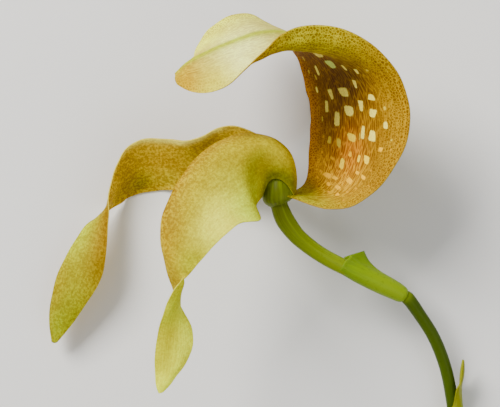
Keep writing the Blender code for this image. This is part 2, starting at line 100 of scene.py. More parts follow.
# Sections of the lateral sepal on the upper side, from its foot to its tip. The first point
# of each is on the front margin and the last on the back margin.
NEAR_LATERAL_SECTIONS = [
    (3.1, -2.2, 0.9,  2.3, -0.6, 3.2,  -0.2, 2.9, 4.6,  -3.7, 3.1, 4.2,  -5.1, -1.6, 1.9),
    (3.6, 3, 2.4,  2, 4.6, 4.8,  -1.6, 5.6, 5.6,  -4.9, 3.9, 5,  -5.6, -2.2, 3.4),
    (2.6, 8.4, 2.8,  0.4, 10.2, 5.2,  -4.2, 9, 7.6,  -6.8, 3.6, 8,  -6, -2.4, 6.5),
    (-1, 13, 2,  -3.2, 12.8, 6,  -8, 9.6, 10.4,  -9, 2.4, 12.2,  -7.5, -4.7, 11),
    (-7.3, 14.4, 4,  -9.2, 12.4, 8.6,  -12.2, 7.6, 13.6,  -11.4, -0.6, 16,  -4.4, -8.2, 15),
    (-14, 13, 8,  -15.4, 10.2, 12.4,  -17, 4.4, 17,  -15, -3.6, 19,  -10, -7.3, 18),
    (-19.9, 9.5, 12,  -20.2, 6, 16,  -20.8, -0.4, 19.6,  -18.4, -6.8, 21,  -12.2, -9.3, 20),
    (-23.2, 5.6, 15,  -24, 1.4, 18.6,  -23.6, -5.2, 21.6,  -20.8, -10.4, 22.2,  -15.5, -12, 21.2),
    (-26.8, 0.3, 18,  -27.2, -4.2, 20.6,  -25.6, -10.2, 22.6,  -22.6, -13.8, 22.8,  -18.6, -15.3, 21.8),
    (-28.5, -4.2, 20,  -28.8, -8.8, 21.6,  -26.8, -13.6, 22.8,  -24.2, -16.6, 22.8,  -21.2, -18.5, 22),
    (-30.2, -9.4, 20.6,  -29, -14, 21.6,  -27.2, -17.4, 22.2,  -25.2, -19.4, 22.4,  -23.2, -21, 22),
    (-29.2, -15.8, 20,  -28, -18.4, 20.6,  -25.6, -20.8, 20.8,  -23.5, -22, 21,  -24.7, -21.9, 22.3),
    (-27.8, -22.3, 17.6,  -25.8, -23, 18.2,  -24.3, -23.6, 19.2,  -24.3, -24.3, 20.2,  -26.8, -24.5, 21.2),
    (-25.8, -26.6, 15.2,  -25, -26.8, 16.4,  -25.4, -27.2, 17.8,  -26.8, -27.6, 19,  -28.4, -27.8, 19.6),
    (-24.2, -30, 13.8,  -25.4, -30.2, 15.4,  -26.6, -30.6, 16.8,  -28.2, -31, 17.8,  -29.9, -31.7, 18),
    (-22.2, -34, 13,  -24.6, -34.6, 14.8,  -26.8, -35.2, 15.8,  -28.9, -35.6, 16.4,  -30.8, -36.2, 16.4),
    (-22, -37.6, 13,  -24.4, -38.6, 14.7,  -26.9, -39.4, 15.3,  -29.3, -40, 15.4,  -31.5, -40.8, 15),
    (-23.6, -42.2, 13.2,  -25.5, -43.2, 14.6,  -27.5, -44, 14.9,  -29.5, -44.8, 14.7,  -31.3, -45.4, 14.2),
    (-26.8, -46.6, 13.5,  -27.8, -47, 14.1,  -28.7, -47.4, 14.3,  -29.8, -47.8, 14.2,  -31, -48.2, 13.9),
    (-29.3, -49.2, 13.9,  -29.6, -49.3, 14,  -29.8, -49.4, 14,  -30.1, -49.5, 14,  -30.4, -49.6, 13.9),
]

# Sections of the lateral sepal on the lower side, which the flower partly lies on.
FAR_LATERAL_SECTIONS = [
    (2.5, 0.3, -1.6,  1.2, 2.4, -1.9,  -1.4, 3.4, -2.1,  -4, 2.4, -2,  -4.9, -0.6, -1.8),
    (1.4, 6.6, -3,  -0.4, 7.4, -4.6,  -3.2, 6.6, -6.2,  -5.4, 3.6, -7,  -6.4, 0.2, -6.6),
    (-4, 12.8, -4,  -4.8, 12, -6.8,  -6.6, 9.2, -9.4,  -8.4, 4.8, -11,  -9.6, 0.2, -10.6),
    (-10.2, 15.8, -6,  -10.8, 13.8, -9.4,  -12, 9.8, -12.4,  -13.4, 4.8, -14.4,  -14.4, -0.2, -14.4),
    (-15.4, 17, -8,  -16.2, 13.6, -11.4,  -17.2, 9.4, -14.4,  -18.4, 4.6, -17,  -19.4, -0.2, -18),
    (-19.4, 14, -9.5,  -20.2, 11.4, -12.8,  -21.4, 8, -15.8,  -22.6, 4, -18.4,  -23.8, 0, -20.2),
    (-24.2, 12.2, -11,  -24.8, 10, -14.4,  -25.8, 7, -17.2,  -27, 3.8, -19.6,  -28.2, 0.2, -21.6),
    (-30, 12.9, -12,  -30.4, 10.2, -15.2,  -31.2, 6.9, -18,  -32, 3.6, -20.4,  -32.9, 0.2, -22.4),
    (-36.4, 13.9, -12.8,  -36.5, 10.2, -16.2,  -36.8, 6.4, -18.8,  -37.2, 2.6, -21,  -37.6, -1, -22.8),
    (-40.8, 10.4, -13.4,  -40.6, 7.4, -16.2,  -40.4, 4.2, -18.6,  -40.5, 1, -20.6,  -40.9, -2.4, -22.4),
    (-43.2, 4.8, -13.8,  -43, 2.8, -15.8,  -42.8, 0.6, -17.6,  -43, -1.8, -19.4,  -43.6, -4.2, -21),
    (-44.6, -1.5, -13.6,  -44.6, -2.6, -14.8,  -44.9, -3.8, -16.2,  -45.5, -5, -17.6,  -46.4, -5.8, -19),
    (-44.9, -8.1, -12.8,  -45.8, -8, -13.8,  -47, -8, -14.8,  -48.4, -8.2, -16,  -49.9, -8.4, -17.2),
    (-44.8, -15.3, -12.6,  -47, -14.6, -13,  -49.4, -14, -13.8,  -51.6, -13.4, -15,  -53.6, -13, -16.4),
    (-46, -23, -13,  -49, -21.8, -13.4,  -52, -20.6, -14.4,  -54.8, -19.8, -15.6,  -57.4, -19.4, -17),
    (-49.7, -28.2, -14,  -52.4, -27.8, -14.4,  -55, -27.2, -15.4,  -57.4, -26.8, -16.4,  -59.6, -26.6, -17.4),
    (-54, -34.6, -15.2,  -55.8, -34.6, -15.6,  -57.4, -34.4, -16.4,  -59, -34, -17.2,  -60.4, -33.6, -17.9),
    (-58, -39.2, -17,  -58.4, -39.4, -17.1,  -58.8, -39.5, -17.2,  -59.2, -39.4, -17.4,  -59.6, -39.2, -17.6),
]

# Stem centrelines with their radii: x, y, z, radius
PEDICEL_LINE = [
    (-1.3, 4.4, 0, 0.9), (-1.2, 3.9, 0, 2.4), (-1.2, 2.6, 0, 3.6), (-1.2, 0.9, 0, 4.1),
    (-1.2, -0.8, 0, 4.25), (-1.3, -2.1, 0, 4.05), (-1.2, -3, -0.1, 3.3), (-1, -3.7, -0.2, 2.3),
    (-0.2, -6, -0.4, 2.4), (1, -8.3, -0.7, 2.45), (4, -12, -1.6, 2.2), (9.2, -16, -3.4, 2.05),
    (15, -19.2, -5.4, 2.05), (21.8, -22.3, -7.6, 1.7), (27.5, -25, -9.4, 1.4),
    (31.4, -27.1, -10.6, 1.2),
]
SCAPE_LINE = [
    (30.6, -26.4, -10.5, 1.2), (31.7, -27.3, -10.8, 1.7), (32.9, -28.6, -11.3, 1.7),
    (35.6, -32.4, -12.8, 1.6), (38.6, -37, -14.4, 1.6), (41, -42.2, -15.9, 1.6),
    (42.9, -48.1, -17.4, 1.6), (44.4, -56, -18.9, 1.6), (45.2, -62, -20.1, 1.6),
    (45.8, -68, -21.5, 1.6),
]
COLUMN_LINE = [
    (-0.7, 3.8, 0, 0.7), (-0.4, 4.9, 0, 0.9), (-0.2, 6.4, 0, 1), (-0.6, 7.8, 0, 1),
    (-1.4, 8.6, 0, 0.8),
]
LIP_LINE = [(-2.9, 3.8, 0), (-3.9, 6.2, 0), (-5.6, 7.8, 0), (-7.8, 8, 0), (-9.6, 6.8, 0)]
PETAL_LINE = [(1.2, 3.3, 1.2), (1.5, 4.8, 1.4), (1.6, 6.4, 1.7), (1.4, 7.8, 2)]
PETAL_WIDTHS = (0.5, 0.9, 0.8, 0.3)
LIP_WIDTHS = (0.45, 0.9, 1, 0.85, 0.35)

# Mouths of the bract and of the sheath: degrees from the lip's middle, reach along the stem
# and radius there
BRACT_MOUTH = [(0, 14.6, 6), (34, 18.4, 3.5), (75, 19.4, 2.1), (180, 19.6, 1.95)]
SHEATH_MOUTH = [(0, 18.6, 5.1), (42, 13, 4), (85, 7.5, 2.9), (180, 4.5, 2.3)]
BRACT_LIP_SIDE = (0.35, 1, -0.3)
SHEATH_LIP_SIDE = (1, 0.1, 0.3)
# Where along the stem each starts, its radius there and its radius at its belly
BRACT_RADII = (0.1, 1.75, 2.35)
SHEATH_RADII = (5.5, 2.1, 2.3)
LOWEST_SHEATH = 0.3
PEDICEL_RIBS = (6, 0.035)

# Pale windows in the hood: along, across, length and width in millimetres, and tone, an entry of
# WINDOW_TONES. WINDOW_FULLNESS is how far a window of each tone fills in.
HOOD_WINDOWS = [
    (0.494, 0.42, 2.2, 4.6, 0), (0.457, 0.46, 2.7, 3.9, 1), (0.485, 0.13, 1.7, 0.7, 2),
    (0.443, 0.25, 3, 1.1, 0), (0.45, 0.6, 2.2, 1.4, 0), (0.44, 0.7, 1.9, 1.3, 0), (0.442, 0.8, 0.9, 1.1, 2),
    (0.444, 0.12, 1.2, 0.6, 2), (0.425, 0.19, 1.7, 0.7, 2), (0.39, 0.15, 1.8, 0.8, 0),
    (0.373, 0.31, 2.8, 1.8, 0), (0.377, 0.455, 2.4, 4.2, 0), (0.4, 0.6, 2.5, 1.4, 0),
    (0.373, 0.715, 1.6, 2.4, 0), (0.342, 0.235, 3.2, 1.5, 0), (0.334, 0.483, 2.6, 4.2, 0),
    (0.35, 0.61, 2.8, 1.8, 0), (0.34, 0.713, 2.2, 2.5, 0), (0.355, 0.815, 1.2, 1, 2),
    (0.312, 0.35, 3.8, 2.6, 0), (0.307, 0.17, 1.6, 0.7, 2), (0.324, 0.82, 1.8, 1.6, 0),
    (0.298, 0.622, 3.4, 1.5, 0), (0.298, 0.713, 2.8, 2.6, 0), (0.28, 0.51, 2, 4, 4),
    (0.258, 0.38, 2.4, 2.2, 2), (0.257, 0.27, 2.2, 1.7, 2), (0.259, 0.19, 1.4, 1.2, 5),
    (0.28, 0.81, 1.7, 1.9, 3), (0.247, 0.62, 1.9, 1.2, 4), (0.253, 0.7, 2, 2.5, 4),
    (0.219, 0.46, 2.8, 2.2, 4), (0.222, 0.66, 1.1, 2.2, 3), (0.302, 0.882, 0.8, 0.7, 2),
    (0.288, 0.59, 2.3, 0.6, 2), (0.173, 0.35, 2, 4.4, 3), (0.247, 0.52, 1.7, 1.9, 3),
    (0.222, 0.75, 1.3, 2.8, 3), (0.199, 0.62, 1.7, 3.9, 3), (0.167, 0.55, 1.4, 3.6, 3),
    (0.155, 0.64, 1.3, 2, 3), (0.18, 0.45, 1.3, 2.8, 3), (0.172, 0.25, 1.3, 2, 5),
    (0.219, 0.2, 1.2, 1.4, 5), (0.219, 0.34, 1.3, 2.7, 5), (0.206, 0.53, 1.1, 1.8, 5),
    (0.229, 0.6, 1.1, 1.5, 5), (0.194, 0.29, 1.2, 1.7, 5), (0.149, 0.23, 1.2, 1.6, 5),
    (0.24, 0.79, 1.1, 1.5, 5), (0.198, 0.76, 1.2, 2.3, 5), (0.179, 0.7, 1.2, 2.2, 5),
    (0.155, 0.42, 1.3, 2.6, 3), (0.138, 0.52, 1.2, 2, 5), (0.217, 0.88, 1, 1.8, 5),
    (0.162, 0.8, 1.2, 1.6, 5), (0.286, 0.9, 1.4, 0.9, 5),
]
WINDOW_TONES = [
    (0.92, 0.8, 0.12), (0.6, 0.76, 0.14), (0.62, 0.46, 0.03),
    (0.9, 0.5, 0.004), (0.95, 0.68, 0.02), (0.66, 0.34, 0.002),
]
WINDOW_FULLNESS = [1, 1, 0.85, 0.74, 1, 0.62]
WINDOW_LEAN = 0.3
WINDOW_TAPER = 0.35
WINDOW_SQUARENESS = 4
WINDOW_FADE = 1.5

# Colours of each sepal's faces: a ground, and soft washes laid over it, each with its place along
# and across the blade, its reach both ways, its colour and its strength. Some washes are painted
# highlight or painted shade, as marked at each
HOOD_INSIDE = ((0.3, 0.13, 0.001), [
    (0.4, 1, 0.4, 0.26, (0.36, 0.195, 0.001), 1),
    (0.2, 0.9, 0.12, 0.36, (0.29, 0.145, 0.001), 0.9),
    # The next two washes darken the deep top of the hood's hollow: partly the hood's own dark brown and
    # partly painted shade
    (0.42, 0.5, 0.09, 0.36, (0.135, 0.06, 0.001), 0.9),
    (0.5, 0.3, 0.1, 0.5, (0.2, 0.08, 0.001), 0.8),
    (0.33, 0, 0.2, 0.12, (0.42, 0.16, 0.001), 0.8),
    (0.17, 0.48, 0.055, 0.32, (0.56, 0.27, 0.002), 0.85),
    (0.25, 0.52, 0.05, 0.14, (0.58, 0.18, 0.001), 0.7),
    (0.12, 0.85, 0.05, 0.35, (0.44, 0.3, 0.001), 0.8),
    (0.05, 0.5, 0.06, 0.9, (0.38, 0.36, 0.006), 1),
    (0, 0.5, 0.02, 0.9, (0.15, 0.16, 0.001), 1),
    (0.6, 0.95, 0.12, 0.4, (0.42, 0.33, 0.001), 1),
])
HOOD_OUTSIDE = ((0.44, 0.34, 0.003), [
    # The next three washes, near white towards the hood's tip, are painted highlight over the tip's own pale
    # cream
    (0.78, 0.58, 0.13, 0.6, (0.9, 0.9, 0.28), 1),
    (0.86, 0.15, 0.11, 0.24, (0.84, 0.84, 0.06), 0.95),
    (0.885, 0.92, 0.06, 0.28, (0.86, 0.8, 0.05), 0.9),
    (0.965, 0.84, 0.068, 0.5, (0.58, 0.34, 0.001), 1),
    (0.985, 0.3, 0.03, 0.3, (0.62, 0.5, 0.003), 0.9),
    (0.76, 0, 0.1, 0.16, (0.66, 0.62, 0.04), 0.8),
])
NEAR_INSIDE = ((0.6, 0.6, 0.002), [
    (0.69, 0.5, 0.06, 0.8, (0.54, 0.57, 0.004), 0.9),
    (0.8, 0.55, 0.07, 0.3, (0.58, 0.52, 0.002), 0.8),
    (0.86, 0.15, 0.12, 0.3, (0.92, 0.98, 0.03), 0.9),
    (0.95, 0.5, 0.07, 0.8, (0.9, 0.98, 0.02), 0.9),
])
NEAR_OUTSIDE = ((0.46, 0.365, 0.001), [
    (0.1, 0.2, 0.1, 0.3, (0.6, 0.48, 0.001), 0.9),
    (0.19, 0.2, 0.06, 0.3, (0.58, 0.48, 0.002), 0.9),
    (0.28, 0.55, 0.07, 0.22, (0.46, 0.39, 0.002), 0.8),
    # The next two washes are painted highlight: near white glare on the middle of the blade over its own pale
    # yellow
    (0.31, 0.92, 0.12, 0.27, (1, 1, 0.07), 1),
    (0.22, 0.95, 0.05, 0.22, (0.74, 0.92, 0.02), 0.9),
    (0.47, 0.88, 0.06, 0.24, (0.6, 0.6, 0.001), 1),
    # This wash is painted shade: darker olive on the blade near the ovary
    (0.15, 0.62, 0.05, 0.2, (0.4, 0.36, 0.001), 0.9),
    (0.105, 0.65, 0.03, 0.2, (0.5, 0.4, 0.002), 0.8),
    (0.14, 0.95, 0.06, 0.22, (0.42, 0.45, 0.002), 0.9),
    (0.02, 0.4, 0.05, 0.9, (0.15, 0.15, 0.001), 1),
    (0.5, 0.3, 0.14, 0.36, (0.42, 0.265, 0.001), 0.85),
    (0.36, 0, 0.25, 0.22, (0.38, 0.23, 0.001), 0.9),
])
FAR_INSIDE = ((0.32, 0.21, 0.001), [
    (0.95, 0.5, 0.13, 0.9, (0.25, 0.27, 0.001), 1),
    (0.75, 0.95, 0.09, 0.4, (0.46, 0.52, 0.002), 1),
    (0.73, 0.05, 0.09, 0.3, (0.26, 0.135, 0.001), 0.9),
    (0.86, 0.9, 0.06, 0.3, (0.34, 0.27, 0.001), 0.8),
])
FAR_OUTSIDE = ((0.64, 0.4, 0.002), [
    # This wash is painted shade: darker gold a quarter of the way along the blade
    (0.27, 0.55, 0.1, 0.6, (0.28, 0.175, 0.001), 0.95),
    (0.54, 0.75, 0.1, 0.3, (0.36, 0.22, 0.001), 0.9),
    (0.46, 0.8, 0.05, 0.24, (0.25, 0.18, 0.001), 0.9),
    (0.38, 0.8, 0.04, 0.2, (0.5, 0.38, 0.003), 0.8),
    # The next two washes are painted highlight: a cream band where light catches the rolled upper margin
    (0.44, 0, 0.12, 0.055, (0.98, 0.84, 0.12), 1),
    (0.33, 0, 0.1, 0.085, (1, 0.9, 0.18), 1),
])

# Where the net of veins shows, laid out in the same way with levels for colours
HOOD_NET = (0.25, [(0.76, 0, 0.12, 0.25, 0.9, 1), (0.97, 0.75, 0.06, 0.4, 0.6, 1)])
# The second wash of NEAR_NET keeps the net faint under the painted highlight of NEAR_OUTSIDE
NEAR_NET = (0.35, [(0.45, 0, 0.25, 0.5, 0.8, 1), (0.31, 0.95, 0.12, 0.3, 0.1, 1)])
# FAR_NET's wash keeps the net faint under the painted highlight on the far sepal's upper margin
FAR_NET = (0.75, [(0.37, 0, 0.16, 0.11, 0.1, 1)])

# What a pattern does to the colour under it: outside the pattern's features and on them
UNCHANGED = (1.0, 1.0, 1.0)
NET_SHADES = ((0.64, 0.55, 0.5), (1.40, 1.55, 1.2))
NERVE_SHADES = ((0.80, 0.76, 0.66), (1.14, 1.18, 1.20))
PATCH_SHADES = ((0.90, 0.86, 0.80), (1.06, 1.08, 1.10))
GRAIN_SHADES = ((0.93, 0.92, 0.88), (1.05, 1.06, 1.08))
FLECK_SHADES = (UNCHANGED, (0.66, 0.56, 0.40))
PANE_SHADES = ((0.86, 0.86, 0.80), (1.08, 1.06, 1.04))

# Fineness of the solid patterns, in features per metre
CELL_FINENESS = 1400.0
MOTTLE_FINENESS = 1500.0
PATCH_FINENESS = 140.0
GRAIN_FINENESS = 2200.0
PANE_FINENESS = 1100.0
RIM_FINENESS = 900.0
SPECK_FINENESS = 1400.0

# Fineness of the patterns drawn out along a blade, in features per millimetre along and across
DRAWN_NET_FINENESS = (0.30, 1.15)
NERVE_FINENESS = (0.035, 1.7)
FLECK_FINENESS = (0.7, 1.9)

# Finish of each kind of skin: roughness, how much light it scatters within, and shine
SEPAL_FINISH = (0.55, 0.12, 0.04)
RIM_FINISH = (0.4, 0.2, 0.1)
STEM_FINISH = (0.42, 0.15, 0.09)
SCATTER_RADIUS = (1.0, 0.7, 0.2)
SCATTER_REACH = 0.0012

# Slight waves of a sepal: turns along and across it, start of the turn, and share of the height
WAVES = ((4.5, 0.5, 0.4, 0.5), (8.5, -0.75, 1.9, 0.3), (15.5, 1.0, 4.1, 0.2))
WAVE_HEIGHT = 0.10
WAVE_HEIGHT_AT_MARGIN = 0.28

# The hood's raised midrib: its place across the blade, and how wide its ridge and its line are
KEEL_ACROSS = 0.48
KEEL_REACH = 0.06
KEEL_LINE_REACH = 0.034
KEEL_LINE_STRENGTH = 0.95

# How full the wall of a blade stays at its margins, at its ends and where a bract clasps a stem
MARGIN_FULLNESS = 0.4
END_FULLNESS = 0.35
CLASP_FULLNESS = 0.06
FULLNESS_LEVELS = 50

# The camera's aim from the bloom's heart, in millimetres
CAMERA_OFFSET = (-8.25, -3.4, 0.0)
# The lights' aim, and the place, size and colour of each, in metres
LIGHT_AIM = (0.0, 0.0, 0.02)
KEY_LIGHT = ((-0.55, 0.55, 0.7), 0.5, (1.0, 0.98, 0.94))
FILL_LIGHT = ((0.6, -0.4, 0.7), 0.8, (0.94, 0.97, 1.0))
SURFACE_ROUGHNESS = 0.9

# Sockets that share their names with others on the same node
MIX_SHARE, MIX_LOW, MIX_HIGH, MIX_COLOUR = 0, 6, 7, 2
RANGE_SOCKETS = (1, 2, 3, 4)


def number_setting(name, description, default, unit="NONE"):
    """A number for the panel."""
    return FloatProperty(name=name, description=description, default=default, unit=unit)


def size_setting(name, description, default):
    """A length for the panel, in metres."""
    return number_setting(name, description, default, "LENGTH")


def colour_setting(name, description, default):
    """A colour for the panel."""
    return FloatVectorProperty(
        name=name, description=description, default=default, subtype="COLOR", size=3, min=0.0, max=1.0,
    )


class BloomSizes(PropertyGroup):
    """Thicknesses and widths of the bloom's parts"""

    wall: size_setting("Blade thickness", "Thickness of a sepal at its midrib", 0.0008)
    keel: size_setting("Keel height", "How far the hood's midrib stands out on its outer face", 0.0004)
    small_wall: size_setting("Petal thickness", "Thickness of the petals and of the bracts", 0.0005)
    lip_wall: size_setting("Lip thickness", "Thickness of the fleshy lip", 0.0011)
    lip_width: size_setting("Lip width", "Width of the lip at its widest", 0.0036)


class BloomColours(PropertyGroup):
    """The colours of the bloom's plain parts and of the surface under it"""

    keel: colour_setting("Keel", "The hood's midrib on its outer face", (0.42, 0.48, 0.001))
    stem: colour_setting("Stem", "The flower stem", (0.20, 0.27, 0.002))
    ovary: colour_setting("Ovary", "The ovary and the upper stalk", (0.098, 0.116, 0.002))
    scape: colour_setting("Scape", "The stem below the bract", (0.045, 0.075, 0.001))
    bract: colour_setting("Bract", "The bract at its base", (0.22, 0.32, 0.001))
    # Partly the scape's own dark green and partly painted shade: the scape darkens to this down its length
    bract_lip: colour_setting("Bract lip", "The bract at its mouth", (0.15, 0.245, 0.001))
    sheath: colour_setting("Sheath", "The sheath's free tip", (0.24, 0.25, 0.002))
    floor: colour_setting("Surface", "The plain surface", (0.80, 0.79, 0.77))


class StageSettings(PropertyGroup):
    """Camera, lights and surface"""

    distance: size_setting("Camera distance", "From the bloom's heart straight up to the camera", 0.5)
    lens: number_setting("Lens", "Focal length of the camera, in millimetres", 144.0)
    key_power: number_setting("Key light", "Power of the main soft light, in watts", 20.0)
    fill_power: number_setting("Fill light", "Power of the weaker soft light, in watts", 4.0)
    sky: number_setting("Sky", "Strength of the even light from all round", 0.4)
    floor_width: size_setting("Surface width", "Width of the plain surface", 4.0)


def spline_weights(count, samples):
    """Weights of a uniform cubic spline's points, at evenly spaced samples from end to end.

    A point is mirrored past each end, so that the spline starts and ends on its own points.
    """
    weights = np.zeros((samples, count + 2))
    for index, place in enumerate(np.linspace(0.0, count - 1.0, samples)):
        span = min(int(place), count - 2)
        t = place - span
        weights[index, span:span + 4] = (
            (1 - t) ** 3 / 6,
            (3 * t ** 3 - 6 * t ** 2 + 4) / 6,
            (-3 * t ** 3 + 3 * t ** 2 + 3 * t + 1) / 6,
            t ** 3 / 6,
        )
    weights[:, 1] += 2 * weights[:, 0]
    weights[:, 2] -= weights[:, 0]
    weights[:, -2] += 2 * weights[:, -1]
    weights[:, -3] -= weights[:, -1]
    return weights[:, 1:-1]


def spread_sections(sections, rows, columns):
    """The blade's points at rows by columns, on the soft surface that its sections lead."""
    lead = np.array(sections, dtype=float).reshape(len(sections), -1, 3)
    along = spline_weights(lead.shape[0], rows)
    across = spline_weights(lead.shape[1], columns)
    return np.einsum("ai,ijc,bj->abc", along, lead, across)


def unit(vectors):
    """Vectors made one long."""
    return vectors / np.maximum(np.linalg.norm(vectors, axis=-1, keepdims=True), 1e-9)


def normals_of(points):
    """Unit normals of a grid of points."""
    return unit(np.cross(np.gradient(points, axis=0), np.gradient(points, axis=1)))


def shares(rows, columns):
    """Each grid point's share of the way along and across the blade."""
    return np.meshgrid(np.linspace(0, 1, rows), np.linspace(0, 1, columns), indexing="ij")


def smooth(low, high, value):
    """A smooth step from 0 at the low limit to 1 at the high one."""
    t = np.clip((value - low) / (high - low), 0.0, 1.0)
    return t * t * (3.0 - 2.0 * t)


def grid_mesh(name, points, closed=False):
    """A mesh whose faces are the cells of a grid of points in millimetres, with a UV map."""
    rows, columns = points.shape[:2]
    bm = bmesh.new()
    bmesh.ops.create_grid(bm, x_segments=rows - 1, y_segments=columns - 1, size=1.0)
    bm.verts.ensure_lookup_table()
    place = bm.verts.layers.int.new("place")
    placed = (points + HEART_PLACE) * MM
    for vert in bm.verts:
        row = round((vert.co.x + 1.0) / 2.0 * (rows - 1))
        column = round((vert.co.y + 1.0) / 2.0 * (columns - 1))
        vert[place] = row * columns + column
        vert.co = placed[row, column]
    uv = bm.loops.layers.uv.new("UVMap")
    for face in bm.faces:
        for loop in face.loops:
            row, column = divmod(loop.vert[place], columns)
            loop[uv].uv = (row / (rows - 1), column / (columns - 1))
    if closed:
        bmesh.ops.remove_doubles(bm, verts=bm.verts, dist=MERGE_DISTANCE)
    mesh = bpy.data.meshes.new(name)
    bm.to_mesh(mesh)
    bm.free()
    mesh.shade_smooth()
    return mesh


def picked(mesh, values):
    """The values of a grid at each vertex of its mesh."""
    place = np.empty(len(mesh.vertices), dtype=np.int32)
    mesh.attributes["place"].data.foreach_get("value", place)
    return values.reshape(-1, *values.shape[2:])[place]


def paint(mesh, name, values):
    """Stores a grid of colours or of single values on the mesh's vertices."""
    found = picked(mesh, values)
    if values.ndim == 3:
        layer = mesh.attributes.new(name, "FLOAT_COLOR", "POINT")
        full = np.concatenate([found, np.ones((len(found), 1))], axis=1)
        layer.data.foreach_set("color", full.astype(np.float32).ravel())
    else:
        layer = mesh.attributes.new(name, "FLOAT", "POINT")
        layer.data.foreach_set("value", found.astype(np.float32))


def washed(ground, washes, rows, columns):
    """A grid of colours or of single values: a ground with soft washes laid over it."""
    along, across = shares(rows, columns)
    values = np.ones((rows, columns, 1)) * np.array(ground)
    for at_along, at_across, reach_along, reach_across, tint, strength in washes:
        gap = ((along - at_along) / reach_along) ** 2 + ((across - at_across) / reach_across) ** 2
        share = (strength * np.exp(-gap))[..., None]
        values = values * (1 - share) + np.array(tint) * share
    return values.squeeze()


def node(tree, kind, **settings):
    """Adds a shader node with its settings."""
    made = tree.nodes.new(kind)
    for key, value in settings.items():
        setattr(made, key, value)
    return made


def fill(tree, socket, value):
    """Feeds a socket from an output, or sets it to a number or a colour."""
    if isinstance(value, bpy.types.NodeSocket):
        tree.links.new(value, socket)
    elif isinstance(value, float):
        socket.default_value = value
    else:
        socket.default_value = (*value, 1.0)


def mixed(tree, share, low, high, blend="MIX"):
    """Output that mixes two colours, given as outputs or as plain colours, by a share."""
    mix = node(tree, "ShaderNodeMix", data_type="RGBA", blend_type=blend)
    for value, socket in ((share, MIX_SHARE), (low, MIX_LOW), (high, MIX_HIGH)):
        fill(tree, mix.inputs[socket], value)
    return mix.outputs[MIX_COLOUR]


def shaded(tree, colour, share, shades, strength=1.0):
    """A colour times its first shade where the share is 0, and times its second where it is 1."""
    factor = mixed(tree, strength, UNCHANGED, mixed(tree, share, *shades))
    return mixed(tree, 1.0, colour, factor, "MULTIPLY")


def scaled_map(tree, coordinates, scale):
    """Coordinates made larger by a scale along each axis."""
    mapping = node(tree, "ShaderNodeMapping")
    mapping.inputs["Scale"].default_value = scale
    tree.links.new(coordinates, mapping.inputs["Vector"])
    return mapping.outputs[0]


def blade_map(tree, flow, size, fineness):
    """The blade's coordinates, for a pattern with so many features per millimetre each way."""
    return scaled_map(tree, flow, (size[0] * fineness[0], size[1] * fineness[1], 1.0))


def ramp(tree, value, low, high, top=1.0):
    """A smooth step of a value between two limits, up to a top value."""
    step = node(tree, "ShaderNodeMapRange", interpolation_type="SMOOTHSTEP")
    for socket, number in zip(RANGE_SOCKETS, (low, high, 0.0, top)):
        step.inputs[socket].default_value = number
    tree.links.new(value, step.inputs[0])
    return step.outputs[0]


def noise(tree, vector, scale, detail=3.0, rough=0.55):
    """Soft noise, from 0 to 1."""
    grain = node(tree, "ShaderNodeTexNoise")
    grain.inputs["Scale"].default_value = scale
    grain.inputs["Detail"].default_value = detail
    grain.inputs["Roughness"].default_value = rough
    tree.links.new(vector, grain.inputs["Vector"])
    return grain.outputs["Fac"]


def net_of(tree, vector, scale, wide, narrow):
    """The threads of a net of cells, 1 on a thread and 0 within a cell."""
    cells = node(tree, "ShaderNodeTexVoronoi", feature="DISTANCE_TO_EDGE")
    cells.inputs["Scale"].default_value = scale
    tree.links.new(vector, cells.inputs["Vector"])
    return ramp(tree, cells.outputs["Distance"], wide, narrow)


def bent_by(tree, vector, scale, reach):
    """A vector moved about a little by fine noise."""
    wander = node(tree, "ShaderNodeTexNoise")
    wander.inputs["Scale"].default_value = scale
    tree.links.new(vector, wander.inputs["Vector"])
    moved = node(tree, "ShaderNodeVectorMath", operation="MULTIPLY_ADD")
    moved.inputs[1].default_value = (reach, reach, reach)
    tree.links.new(wander.outputs["Color"], moved.inputs[0])
    tree.links.new(vector, moved.inputs[2])
    return moved.outputs[0]


def painted(tree, name, output="Fac"):
    """What is painted on the mesh under a name."""
    return node(tree, "ShaderNodeAttribute", attribute_name=name).outputs[output]


def start_skin(name, finish):
    """A Principled material for soft plant tissue, with its tree and shader node."""
    roughness, scatter, shine = finish
    skin = bpy.data.materials.new(name)
    skin.use_nodes = True
    shader = skin.node_tree.nodes["Principled BSDF"]
    shader.inputs["Roughness"].default_value = roughness
    shader.inputs["Specular IOR Level"].default_value = shine
    shader.inputs["Subsurface Weight"].default_value = scatter
    shader.inputs["Subsurface Radius"].default_value = SCATTER_RADIUS
    shader.inputs["Subsurface Scale"].default_value = SCATTER_REACH
    return skin, skin.node_tree, shader


def add_bump(tree, shader, height, strength, distance):
    """Lets a height pattern rough up a skin."""
    bump = node(tree, "ShaderNodeBump")
    bump.inputs["Strength"].default_value = strength
    bump.inputs["Distance"].default_value = distance
    tree.links.new(height, bump.inputs["Height"])
    tree.links.new(bump.outputs[0], shader.inputs["Normal"])


def add_panes(tree, colour, solid, grain):
    """Lays the painted windows over a colour, with uneven edges."""
    inside = painted(tree, "window_depth")
    tone = painted(tree, "window_tint", "Color")
    uneven = node(tree, "ShaderNodeMath", operation="MULTIPLY_ADD")
    uneven.inputs[1].default_value = 0.45
    tree.links.new(noise(tree, solid, PANE_FINENESS, 2.0), uneven.inputs[0])
    tree.links.new(inside, uneven.inputs[2])
    pane = ramp(tree, uneven.outputs[0], 0.64, 0.88)
    return mixed(tree, pane, colour, shaded(tree, tone, grain, PANE_SHADES))


